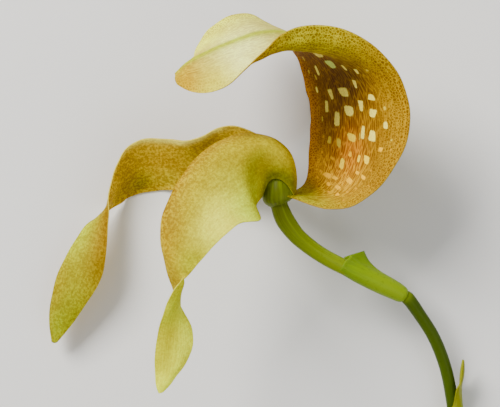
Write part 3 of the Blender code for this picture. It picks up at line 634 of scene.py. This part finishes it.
def sepal_skin(name, size, strengths, windowed=False, mottled=False, drawn_share=1.0):
    """The skin of the face that its name ends in, from the tints painted on the sepal's mesh.

    A light net lies over darker cells, drawn out along the middle of the blade. Near the margins
    it is fine, or mottling stands for it. size is the blade's length and width in millimetres.
    strengths are those of the net, the nerves and the flecks. Without the first, the net is as
    strong as its painted mask.
    """
    net, streak, fleck = strengths
    skin, tree, shader = start_skin(name, SEPAL_FINISH)
    ground = painted(tree, name.split("_")[1] + "_tint", "Color")
    margin = painted(tree, "margin")
    along_blade = node(tree, "ShaderNodeUVMap", uv_map="UVMap").outputs[0]
    solid = node(tree, "ShaderNodeTexCoord").outputs["Object"]

    flow = bent_by(tree, along_blade, 6.0, 0.02)
    drawn = net_of(tree, blade_map(tree, flow, size, DRAWN_NET_FINENESS), 1.0, 0.16, 0.02)
    if mottled:
        fine = ramp(tree, noise(tree, solid, MOTTLE_FINENESS, 3.0, 0.65), 0.42, 0.60)
    else:
        fine = net_of(tree, bent_by(tree, solid, 900.0, 0.0003), CELL_FINENESS, 0.24, 0.03)
    threads = mixed(tree, drawn_share, fine, mixed(tree, margin, drawn, fine))
    nerves = ramp(tree, noise(tree, blade_map(tree, flow, size, NERVE_FINENESS), 1.0, 4.0), 0.35, 0.65)
    patches = ramp(tree, noise(tree, solid, PATCH_FINENESS, 3.0), 0.35, 0.68)
    grain = ramp(tree, noise(tree, solid, GRAIN_FINENESS, 2.0), 0.3, 0.7)
    flecks = ramp(tree, noise(tree, blade_map(tree, flow, size, FLECK_FINENESS), 1.0, 2.0), 0.60, 0.70)

    net = painted(tree, "net_mask") if net is None else net
    colour = shaded(tree, ground, threads, NET_SHADES, net)
    colour = shaded(tree, colour, nerves, NERVE_SHADES, streak)
    colour = shaded(tree, colour, patches, PATCH_SHADES)
    colour = shaded(tree, colour, grain, GRAIN_SHADES)
    colour = shaded(tree, colour, flecks, FLECK_SHADES, fleck)
    if windowed:
        colour = add_panes(tree, colour, solid, grain)
    tree.links.new(colour, shader.inputs["Base Color"])
    height = mixed(tree, 0.5, mixed(tree, 0.5, nerves, threads), grain)
    add_bump(tree, shader, height, 0.4, 0.00012)
    return skin


def rim_skin(name, tint):
    """The thin pale edge of a sepal, with a fine grain."""
    skin, tree, shader = start_skin(name, RIM_FINISH)
    solid = node(tree, "ShaderNodeTexCoord").outputs["Object"]
    grain = ramp(tree, noise(tree, solid, RIM_FINENESS, 3.0), 0.35, 0.7)
    low = [share * 0.75 for share in tint]
    tree.links.new(mixed(tree, grain, low, tint), shader.inputs["Base Color"])
    add_bump(tree, shader, grain, 0.2, 0.0001)
    return skin


def stem_skin(name, upper, lower, across_fineness, change=(0.1, 0.55)):
    """A smooth green skin with fine lengthwise streaks, from one colour to another along it.

    change is the share of the stem's length where the colours start and end to change.
    """
    skin, tree, shader = start_skin(name, STEM_FINISH)
    along = node(tree, "ShaderNodeUVMap", uv_map="UVMap").outputs[0]
    parts = node(tree, "ShaderNodeSeparateXYZ")
    tree.links.new(along, parts.inputs[0])
    solid = node(tree, "ShaderNodeTexCoord").outputs["Object"]
    streaks = noise(tree, scaled_map(tree, along, (3.0, across_fineness, 1.0)), 1.0, 4.0)
    specks = noise(tree, solid, SPECK_FINENESS, 2.0)
    ground = mixed(tree, ramp(tree, parts.outputs["X"], *change), upper, lower)
    light = [channel * 1.5 for channel in lower]
    dark = [channel * 0.45 for channel in lower]
    streaked = mixed(tree, ramp(tree, streaks, 0.4, 0.75, 0.4), ground, light)
    spotted = mixed(tree, ramp(tree, specks, 0.58, 0.72, 0.35), streaked, dark)
    tree.links.new(spotted, shader.inputs["Base Color"])
    add_bump(tree, shader, mixed(tree, 0.5, streaks, specks), 0.25, 0.0001)
    return skin


def window_layers(points, windows):
    """How deep each grid point lies inside the nearest window, and that window's tone."""
    rows, columns = points.shape[:2]
    along, across = shares(rows, columns)
    pull_along = np.linalg.norm(np.gradient(points, axis=0), axis=2) * (rows - 1)
    pull_across = np.linalg.norm(np.gradient(points, axis=1), axis=2) * (columns - 1)
    depth = np.zeros((rows, columns))
    tint = np.ones((rows, columns, 3)) * np.array(WINDOW_TONES[0])
    draw = random.Random(SEED)
    for at_along, at_across, length, width, tone in windows:
        row = round(at_along * (rows - 1))
        column = round(at_across * (columns - 1))
        lean = draw.uniform(-WINDOW_LEAN, WINDOW_LEAN)
        taper = draw.uniform(-WINDOW_TAPER, WINDOW_TAPER)
        ahead = (along - at_along) * pull_along[row, column] / (length / 2)
        aside = (across - at_across) * pull_across[row, column] / (width / 2) + lean * ahead
        aside = aside * (1.0 + taper * np.clip(ahead, -WINDOW_FADE, WINDOW_FADE))
        gap = np.abs(ahead) ** WINDOW_SQUARENESS + np.abs(aside) ** WINDOW_SQUARENESS
        gap = gap ** (1 / WINDOW_SQUARENESS)
        inner = np.clip(WINDOW_FADE - gap, 0.0, 1.0) * WINDOW_FULLNESS[tone]
        nearer = inner > depth
        depth = np.where(nearer, inner, depth)
        tint = np.where(nearer[..., None], np.array(WINDOW_TONES[tone]), tint)
    return depth, tint


def rippled(points, along, across):
    """The blade with the slight waves of living tissue, higher at its margins."""
    edge = np.abs(across - 0.5) * 2.0
    waves = np.zeros(along.shape)
    for turns_along, turns_across, start, share in WAVES:
        waves += share * np.sin(2 * math.pi * (turns_along * along + turns_across * across) + start)
    height = WAVE_HEIGHT + WAVE_HEIGHT_AT_MARGIN * edge ** 2
    height = height * smooth(0.05, 0.2, along) * smooth(1.0, 0.92, along)
    return points + normals_of(points) * (waves * height)[..., None]


def blade_sheet(name, sections, keel):
    """The open sheet of a sepal, finely spread, and its grid of points."""
    rows = (len(sections) - 1) * ROWS_PER_SECTION + 1
    columns = 4 * COLUMNS_PER_SECTION + 1
    along, across = shares(rows, columns)
    points = rippled(spread_sections(sections, rows, columns), along, across)
    if keel:
        ridge = keel * np.exp(-((across - KEEL_ACROSS) / KEEL_REACH) ** 2) * smooth(0.35, 0.7, along)
        points = points + normals_of(points) * ridge[..., None]
    half = bpy.context.scene.bloom_sizes.wall / MM / 2
    points[..., 2] = np.maximum(points[..., 2], half - HEART_PLACE[2])
    return grid_mesh(name, points), points


def finish_piece(mesh, node_name):
    """Adds a finished mesh as a piece that rides on the bloom and stands for its plain node."""
    piece = bpy.data.objects.new(PIECE_PREFIX + node_name, mesh)
    bpy.context.scene.collection.objects.link(piece)
    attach(piece, "root")
    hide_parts(node_name)
    return piece


def add_wall(piece, thickness, other_side=0, rim=0):
    """Gives an open sheet its thickness, and the skins of its other side and of its rim."""
    wall = piece.modifiers.new("wall", "SOLIDIFY")
    wall.thickness = thickness
    wall.offset = 0.0
    wall.material_offset = other_side
    wall.material_offset_rim = rim
    return wall


def thin_out(piece, wall, fullness):
    """Makes the wall thinner where the grid of fullness is lower."""
    levels = np.round(picked(piece.data, fullness) * FULLNESS_LEVELS).astype(int)
    group = piece.vertex_groups.new(name="fullness")
    for level in np.unique(levels):
        group.add(np.flatnonzero(levels == level).tolist(), level / FULLNESS_LEVELS, "REPLACE")
    wall.vertex_group = group.name


def keeled(colour, along, across):
    """The outer colours of a sepal with the coloured line of its keel."""
    line = np.exp(-((across - KEEL_ACROSS) / KEEL_LINE_REACH) ** 2) * smooth(0.5, 0.66, along)
    line = line[..., None] * KEEL_LINE_STRENGTH
    return colour * (1 - line) + np.array(bpy.context.scene.bloom_colours.keel) * line


def add_sepal(node_name, sections, inside, outside, net, skins, windows=(), keel=0.0):
    """Builds one sepal with its two painted faces and its thin rim."""
    mesh, points = blade_sheet(PIECE_PREFIX + node_name, sections, keel)
    rows, columns = points.shape[:2]
    along, across = shares(rows, columns)
    edge = np.minimum(across, 1 - across)
    outer = washed(*outside, rows, columns)
    if keel:
        outer = keeled(outer, along, across)
    depth, tint = window_layers(points, windows)
    # These tints carry the painted highlight and painted shade of the washes along with the sepal's own
    # colours
    paint(mesh, "inside_tint", washed(*inside, rows, columns))
    paint(mesh, "outside_tint", outer)
    paint(mesh, "margin", 1 - smooth(0.06, 0.34, edge))
    paint(mesh, "net_mask", washed(*net, rows, columns))
    paint(mesh, "window_depth", depth)
    paint(mesh, "window_tint", tint)
    for skin in skins:
        mesh.materials.append(skin)
    piece = finish_piece(mesh, node_name)
    wall = add_wall(piece, bpy.context.scene.bloom_sizes.wall, 1, 2)
    ends = np.minimum(along, 1 - along)
    fullness = MARGIN_FULLNESS + (1 - MARGIN_FULLNESS) * smooth(0.0, 0.25, edge)
    fullness = fullness * (END_FULLNESS + (1 - END_FULLNESS) * smooth(0.0, 0.06, ends))
    thin_out(piece, wall, fullness)


def smooth_line(line, steps):
    """Points and radii of a stem on a smooth curve through the listed ones."""
    entries = np.array(line, dtype=float)
    padded = np.concatenate([entries[:1], entries, entries[-1:]])[:, None]
    before, start, end, after = padded[:-3], padded[1:-2], padded[2:-1], padded[3:]
    pull_start = (end - before) * 0.5
    pull_end = (after - start) * 0.5
    lift = 3.0 * (end - start) - 2.0 * pull_start - pull_end
    turn = pull_start + pull_end - 2.0 * (end - start)
    t = (np.arange(steps) / steps)[:, None]
    dense = start + pull_start * t + lift * t * t + turn * t ** 3
    return np.concatenate([dense.reshape(-1, entries.shape[1]), entries[-1:]])


def stem_points(line, ribs, rib_depth):
    """Rings of points round a stem, from its first end to its last, closed at both ends."""
    dense = smooth_line(line, STEM_STEPS)
    centre = dense[:, :3]
    ahead = unit(np.gradient(centre, axis=0))
    side = unit(np.cross(ahead, (0.0, 0.0, 1.0)))
    upright = np.cross(side, ahead)
    angle = np.linspace(0.0, 2.0 * math.pi, STEM_AROUND + 1)
    reach = dense[:, 3, None] * (1.0 - rib_depth * (0.5 + 0.5 * np.cos(ribs * angle))[None, :])
    turned = side[:, None, :] * np.cos(angle)[None, :, None]
    turned = turned + upright[:, None, :] * np.sin(angle)[None, :, None]
    rings = centre[:, None, :] + reach[..., None] * turned
    first = np.repeat(centre[:1, None, :], STEM_AROUND + 1, axis=1)
    last = np.repeat(centre[-1:, None, :], STEM_AROUND + 1, axis=1)
    points = np.concatenate([first, rings, last])
    points[..., 2] = np.maximum(points[..., 2], -HEART_PLACE[2])
    return points


def add_stem(node_name, slot, line, skin, ribs=0, rib_depth=0.0):
    """Builds a closed stem of round section, which may have ribs."""
    mesh = grid_mesh(PIECE_PREFIX + node_name, stem_points(line, ribs, rib_depth), closed=True)
    bm = bmesh.new()
    bm.from_mesh(mesh)
    bmesh.ops.recalc_face_normals(bm, faces=bm.faces)
    bm.to_mesh(mesh)
    bm.free()
    mesh.materials.append(skin)
    finish_piece(mesh, node_name)


def mouth_at(mouth, turn):
    """Reach along the stem and radius of a sheath's mouth, at degrees from its lip."""
    degrees, reach, radius = np.array(mouth, dtype=float).T
    part = np.clip(np.searchsorted(degrees, turn) - 1, 0, len(degrees) - 2)
    t = smooth(degrees[part], degrees[part + 1], turn)
    return [value[part] + (value[part + 1] - value[part]) * t for value in (reach, radius)]


def line_places(dense, distance):
    """Points and directions at distances along a dense stem line."""
    steps = np.diff(dense[:, :3], axis=0)
    reached = np.concatenate([[0.0], np.cumsum(np.linalg.norm(steps, axis=1))])
    distance = np.minimum(distance, reached[-1])
    part = np.clip(np.searchsorted(reached, distance) - 1, 0, len(steps) - 1)
    ahead = unit(steps)[part]
    return dense[part, :3] + ahead * (distance - reached[part])[..., None], ahead


def sheath_points(line, radii, mouth, lip_side):
    """Rings of a leaf base rolled round a stem, with a free pointed lip on one side.

    It is drawn in at its foot, then swells, and its radius becomes the mouth's at its end.
    """
    start, base_radius, belly_radius = radii
    rise, turn = shares(SHEATH_ALONG + 1, SHEATH_AROUND + 1)
    reach, mouth_radius = mouth_at(mouth, 180.0 - np.abs(360.0 * turn - 180.0))
    centre, ahead = line_places(smooth_line(line, SHEATH_LINE_STEPS), start + reach * rise)
    across = unit(lip_side - ahead * (ahead @ lip_side)[..., None])
    upright = np.cross(ahead, across)
    swell = np.sin(math.pi * np.minimum(1.0, rise * 1.1)) ** 0.7
    belly = base_radius + (belly_radius - base_radius) * swell
    belly = belly - 0.4 * base_radius * np.exp(-rise / 0.02)
    radius = belly + (mouth_radius - belly) * rise ** 4
    angle = 2.0 * math.pi * turn[..., None]
    points = centre + (across * np.cos(angle) + upright * np.sin(angle)) * radius[..., None]
    points[..., 2] = np.maximum(points[..., 2], LOWEST_SHEATH - HEART_PLACE[2])
    return points


def add_sheath(node_name, line, radii, mouth, lip_side, skin):
    """Builds a bract, whose wall thins out where its mouth clasps the stem."""
    points = sheath_points(line, radii, mouth, lip_side)
    mesh = grid_mesh(PIECE_PREFIX + node_name, points, closed=True)
    mesh.materials.append(skin)
    piece = finish_piece(mesh, node_name)
    wall = add_wall(piece, bpy.context.scene.bloom_sizes.small_wall)
    rise, turn = shares(*points.shape[:2])
    clasp = smooth(0.08, 0.2, np.minimum(turn, 1 - turn)) * smooth(0.7, 1.0, rise)
    thin_out(piece, wall, 1 - (1 - CLASP_FULLNESS) * clasp)


def strap_sections(line, widths, half_width, across, cup):
    """Five-point sections of a narrow blade that follows a line, spread along a direction."""
    points = [Vector(point) for point in line]
    sections = []
    for index, point in enumerate(points):
        ahead = points[min(index + 1, len(points) - 1)] - points[max(index - 1, 0)]
        side = (across - ahead.normalized() * across.dot(ahead.normalized())).normalized()
        lift = side.cross(ahead).normalized()
        reach = widths[index] * half_width
        row = []
        for step in (-1.0, -0.5, 0.0, 0.5, 1.0):
            row.append(tuple(point + side * reach * step + lift * cup * reach * step * step))
        sections.append(row)
    return sections


def add_strap(node_name, sections, thickness, skin):
    """Builds a small narrow blade, such as a petal."""
    rows = (len(sections) - 1) * STRAP_ROWS_PER_SECTION + 1
    mesh = grid_mesh(PIECE_PREFIX + node_name, spread_sections(sections, rows, STRAP_COLUMNS))
    mesh.materials.append(skin)
    piece = finish_piece(mesh, node_name)
    add_wall(piece, thickness)


class BLOOM_OT_dorsal_sepal(Operator):
    """Build the hood, with its windows, nerves and keel"""

    bl_idname = "bloom.dorsal_sepal"
    bl_label = "Dorsal sepal"

    def execute(self, context):
        size = (110, 46)
        skins = (
            sepal_skin("hood_outside", size, (None, 0.35, 0.3)),
            sepal_skin("hood_inside", size, (1.0, 1.0, 0.5), windowed=True),
            rim_skin("hood_rim", (0.42, 0.27, 0.004)),
        )
        add_sepal(
            "dorsal_sepal", DORSAL_SECTIONS,
            HOOD_INSIDE, HOOD_OUTSIDE,
            HOOD_NET, skins, HOOD_WINDOWS, context.scene.bloom_sizes.keel / MM,
        )
        return {"FINISHED"}


class BLOOM_OT_lateral_sepals(Operator):
    """Build the two long twisted lateral sepals"""

    bl_idname = "bloom.lateral_sepals"
    bl_label = "Lateral sepals"

    def execute(self, context):
        size = (90, 24)
        mottled = {"mottled": True, "drawn_share": 0.2}
        skins = (
            sepal_skin("near_outside", size, (None, 0.3, 0.3), **mottled),
            sepal_skin("near_inside", size, (0.2, 0.5, 0.5), mottled=True, drawn_share=0.5),
            rim_skin("near_rim", (0.62, 0.60, 0.02)),
        )
        add_sepal(
            "near_lateral_sepal", NEAR_LATERAL_SECTIONS,
            NEAR_INSIDE, NEAR_OUTSIDE,
            NEAR_NET, skins,
        )
        size = (90, 22)
        skins = (
            sepal_skin("far_outside", size, (None, 0.35, 0.3), **mottled),
            sepal_skin("far_inside", size, (0.5, 0.35, 0.35), **mottled),
            rim_skin("far_rim", (0.72, 0.58, 0.04)),
        )
        add_sepal(
            "far_lateral_sepal", FAR_LATERAL_SECTIONS,
            FAR_INSIDE, FAR_OUTSIDE,
            FAR_NET, skins,
        )
        return {"FINISHED"}


class BLOOM_OT_heart(Operator):
    """Build the petals, the lip and the column in the heart of the bloom"""

    bl_idname = "bloom.heart"
    bl_label = "Petals, lip and column"

    def execute(self, context):
        sizes = context.scene.bloom_sizes
        skin = stem_skin("heart_skin", (0.45, 0.42, 0.08), (0.50, 0.36, 0.05), 20.0)
        upright = Vector((0.0, 0.0, 1.0))
        lip = strap_sections(LIP_LINE, LIP_WIDTHS, sizes.lip_width / MM / 2, upright, 0.35)
        add_strap("lip", lip, sizes.lip_wall, skin)
        level = Vector((1.0, 0.0, 0.0))
        far_line = [(x, y, -z) for x, y, z in PETAL_LINE]
        for node_name, line in (("near_petal", PETAL_LINE), ("far_petal", far_line)):
            petal = strap_sections(line, PETAL_WIDTHS, 1.0, level, 0.2)
            add_strap(node_name, petal, sizes.small_wall, skin)
        add_stem("column", "lip_green", COLUMN_LINE, skin)
        return {"FINISHED"}


class BLOOM_OT_stems(Operator):
    """Build the ovary and its stalk, the flower stem and their bracts"""

    bl_idname = "bloom.stems"
    bl_label = "Stems and bracts"

    def execute(self, context):
        colours = context.scene.bloom_colours
        stalk = stem_skin("stalk_skin", colours.ovary, colours.stem, 30.0, (0.5, 0.85))
        # The scape darkens from the stem's colour to the scape colour down its top quarter, partly painted
        # shade
        stem = stem_skin("scape_skin", colours.stem, colours.scape, 30.0, (0.0, 0.25))
        leaf = stem_skin("bract_skin", colours.bract, colours.bract_lip, 40.0, (0.3, 0.95))
        dry_leaf = stem_skin("sheath_skin", colours.bract, colours.sheath, 40.0, (0.2, 0.7))
        add_stem("pedicel", "stem_green", PEDICEL_LINE, stalk, *PEDICEL_RIBS)
        add_stem("scape", "stem_green", SCAPE_LINE, stem)
        add_sheath(
            "floral_bract", PEDICEL_LINE[::-1], BRACT_RADII,
            BRACT_MOUTH, BRACT_LIP_SIDE, leaf,
        )
        add_sheath(
            "scape_sheath", SCAPE_LINE[::-1], SHEATH_RADII,
            SHEATH_MOUTH, SHEATH_LIP_SIDE, dry_leaf,
        )
        return {"FINISHED"}


def area_light(name, power, place, size, colour):
    """Adds a soft square light that looks at the bloom."""
    data = bpy.data.lights.new(name, "AREA")
    data.size = size
    data.energy = power
    data.color = colour
    lamp = bpy.data.objects.new(name, data)
    bpy.context.scene.collection.objects.link(lamp)
    lamp.location = place
    lamp.rotation_euler = (Vector(LIGHT_AIM) - Vector(place)).to_track_quat("-Z", "Y").to_euler()
    return lamp


def add_surface(width, colour):
    """Adds the plain surface that the bloom lies on."""
    bm = bmesh.new()
    bmesh.ops.create_grid(bm, x_segments=1, y_segments=1, size=width / 2)
    mesh = bpy.data.meshes.new("surface")
    bm.to_mesh(mesh)
    bm.free()
    finish = bpy.data.materials.new("pale_surface")
    finish.use_nodes = True
    shader = finish.node_tree.nodes["Principled BSDF"]
    shader.inputs["Base Color"].default_value = (*colour, 1.0)
    shader.inputs["Roughness"].default_value = SURFACE_ROUGHNESS
    mesh.materials.append(finish)
    surface = bpy.data.objects.new("surface", mesh)
    bpy.context.scene.collection.objects.link(surface)


def set_sky(strength):
    """Sets an even white light from all round."""
    world = bpy.data.worlds.new("soft_sky")
    world.use_nodes = True
    background = world.node_tree.nodes["Background"]
    background.inputs["Color"].default_value = (1.0, 1.0, 1.0, 1.0)
    background.inputs["Strength"].default_value = strength
    bpy.context.scene.world = world


def add_camera(lens, distance):
    """Adds the camera, which looks straight down at the photograph's middle."""
    data = bpy.data.cameras.new("camera")
    data.lens = lens
    data.clip_start = 0.01
    camera = bpy.data.objects.new("camera", data)
    bpy.context.scene.collection.objects.link(camera)
    aim = Vector(HEART_PLACE * MM) + Vector(CAMERA_OFFSET) * MM
    camera.location = aim + Vector((0.0, 0.0, distance))
    bpy.context.scene.camera = camera


class BLOOM_OT_stage(Operator):
    """Set the plain surface, the soft lights and the camera"""

    bl_idname = "bloom.stage"
    bl_label = "Stage"

    def execute(self, context):
        settings = context.scene.bloom_stage
        add_surface(settings.floor_width, context.scene.bloom_colours.floor)
        key = area_light("key_light", settings.key_power, *KEY_LIGHT)
        weak = area_light("fill_light", settings.fill_power, *FILL_LIGHT)
        set_sky(settings.sky)
        add_camera(settings.lens, settings.distance)
        return {"FINISHED"}


class BLOOM_PT_panel(Panel):
    """The bloom's steps and settings in the sidebar"""

    bl_idname = "BLOOM_PT_panel"
    bl_label = "Bulbophyllum bloom"
    bl_space_type = "VIEW_3D"
    bl_region_type = "UI"
    bl_category = "Bloom"

    def draw(self, context):
        layout = self.layout
        for step in STEPS:
            layout.operator(step.bl_idname)
        for group in ("bloom_sizes", "bloom_colours", "bloom_stage"):
            box = layout.box()
            settings = getattr(context.scene, group)
            for name in settings.__annotations__:
                box.prop(settings, name)


STEPS = (
    BLOOM_OT_dorsal_sepal,
    BLOOM_OT_lateral_sepals,
    BLOOM_OT_heart,
    BLOOM_OT_stems,
    BLOOM_OT_stage,
)
CLASSES = (BloomSizes, BloomColours, StageSettings, *STEPS, BLOOM_PT_panel)


def register():
    """Registers the classes and keeps their settings on the scene."""
    for item in CLASSES:
        bpy.utils.register_class(item)
    bpy.types.Scene.bloom_sizes = PointerProperty(type=BloomSizes)
    bpy.types.Scene.bloom_colours = PointerProperty(type=BloomColours)
    bpy.types.Scene.bloom_stage = PointerProperty(type=StageSettings)


def unregister():
    """Takes the settings and the classes away again."""
    del bpy.types.Scene.bloom_stage
    del bpy.types.Scene.bloom_colours
    del bpy.types.Scene.bloom_sizes
    for item in reversed(CLASSES):
        bpy.utils.unregister_class(item)


def main():
    """Builds the whole scene."""
    register()
    bpy.ops.bloom.dorsal_sepal()
    bpy.ops.bloom.lateral_sepals()
    bpy.ops.bloom.heart()
    bpy.ops.bloom.stems()
    bpy.ops.bloom.stage()


if __name__ == "__main__":
    main()
